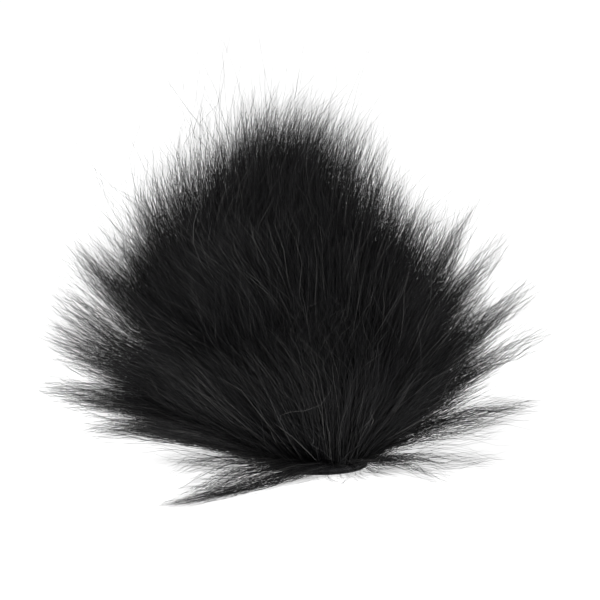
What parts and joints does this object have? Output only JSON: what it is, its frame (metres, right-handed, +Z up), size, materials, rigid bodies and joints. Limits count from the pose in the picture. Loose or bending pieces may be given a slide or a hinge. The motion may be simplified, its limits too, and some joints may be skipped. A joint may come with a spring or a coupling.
{
  "type": "furry windscreen",
  "caption": "Furry slip-on windscreen for a miniature microphone: a long-pile artificial fur cover with an elastic neck over a foam core.",
  "frame": {"origin": "centre of the neck opening, on the level that the hem and the foam core stand on", "axes": "+Z up out of the neck through the crown, the way the cover comes off; -Y is the front; X across"},
  "size_m": [0.078, 0.078, 0.0629],
  "materials": {
    "foam": "matte",
    "scrim": "matte",
    "backing": "matte",
    "undercoat": "matte",
    "guard_hair": "satin",
    "thread": "satin",
    "hem_tape": "matte",
    "elastic": "matte"
  },
  "bodies": {
    "core": {"foam_core": "foam"},
    "cover": {"scrim_bag": "scrim", "scrim_seam": "thread", "backing_front": "backing", "backing_right": "backing", "backing_back": "backing", "backing_left": "backing", "undercoat_front": "undercoat", "undercoat_right": "undercoat", "undercoat_back": "undercoat", "undercoat_left": "undercoat", "guard_hair_front": "guard_hair", "guard_hair_right": "guard_hair", "guard_hair_back": "guard_hair", "guard_hair_left": "guard_hair", "seam_thread_front_right": "thread", "seam_thread_back_right": "thread", "seam_thread_back_left": "thread", "seam_thread_front_left": "thread", "crown_tack": "thread", "hem_tape": "hem_tape", "hem_elastic": "elastic", "elastic_tack": "elastic", "hem_stitching": "thread"}
  },
  "joints": [
    {"name": "cover_slide", "type": "slide", "parent": "core", "child": "cover", "axis": [0, 0, 1], "range_m": [0, 0.035]}
  ]
}
